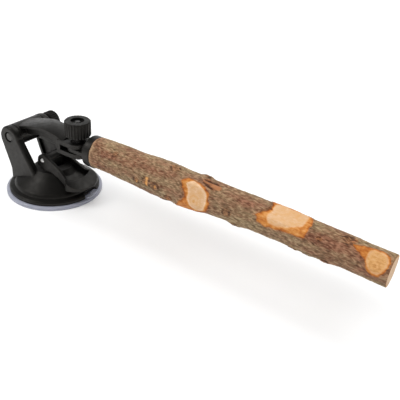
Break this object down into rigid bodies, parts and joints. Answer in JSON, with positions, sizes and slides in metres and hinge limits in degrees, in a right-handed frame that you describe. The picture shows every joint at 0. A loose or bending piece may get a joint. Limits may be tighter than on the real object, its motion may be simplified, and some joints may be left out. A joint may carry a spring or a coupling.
{
  "type": "bird perch",
  "caption": "Natural branch perch on a tilting and swivelling arm, held to a window by a lever-lock suction cup",
  "frame": {"origin": "middle of the suction cup's sealing face", "axes": "+X along the perch away from the mount, +Z away from the window, +Y completes the set"},
  "size_m": [0.3264, 0.08, 0.0711],
  "materials": {
    "black_plastic": "fine satin moulded",
    "knob_plastic": "satin, fluted grip",
    "clear_cup": "clear soft moulding",
    "steel": "bright zinc",
    "black_steel": "black oxide",
    "brass": "turned",
    "grey_nylon": "matt",
    "branch_wood": "natural bark with sawn knots"
  },
  "bodies": {
    "base": {"suction_cup": "clear_cup", "base_housing": "black_plastic", "stem_spring": "steel", "hinge_bolt": "black_steel", "hinge_washer": "black_steel"},
    "stem": {"pull_stem": "black_plastic"},
    "lever": {"lever": "black_plastic", "lever_pin": "steel"},
    "arm": {"arm": "black_plastic", "hinge_friction_washers": "grey_nylon", "head_bolt": "black_steel", "head_washer": "black_steel"},
    "hinge_knob": {"hinge_knob": "knob_plastic", "hinge_knob_nut": "brass"},
    "head_knob": {"head_knob": "knob_plastic", "head_knob_nut": "brass"},
    "perch": {"perch_socket": "black_plastic", "socket_insert": "brass", "perch_stud": "steel", "perch": "branch_wood", "head_friction_washers": "grey_nylon"}
  },
  "joints": [
    {"name": "stem_slide", "type": "slide", "parent": "base", "child": "stem", "axis": [0, 0, 1], "range_m": [-0.0016, 0], "deforming": ["suction_cup", "stem_spring"]},
    {"name": "lever_lift", "type": "hinge", "parent": "stem", "child": "lever", "pos_m": [-0.0012, 0, 0.0288], "axis": [0, -1, 0], "range_deg": [0, 24]},
    {"name": "arm_tilt", "type": "hinge", "parent": "base", "child": "arm", "pos_m": [-0.0294, 0, 0.0445], "axis": [0, -1, 0], "range_deg": [0, 95]},
    {"name": "hinge_knob_turn", "type": "hinge", "parent": "base", "child": "hinge_knob", "pos_m": [-0.0294, 0, 0.0445], "axis": [0, 1, 0], "continuous": true},
    {"name": "perch_swivel", "type": "hinge", "parent": "arm", "child": "perch", "pos_m": [0.03025, 0, 0.0482], "axis": [0, 0, 1], "range_deg": [-90, 90]},
    {"name": "head_knob_turn", "type": "hinge", "parent": "arm", "child": "head_knob", "pos_m": [0.03025, 0, 0.0482], "axis": [0, 0, 1], "continuous": true}
  ],
  "couplings": [
    {"joint": "stem_slide", "follows": "lever_lift", "m_per_rad": -0.0038197}
  ]
}
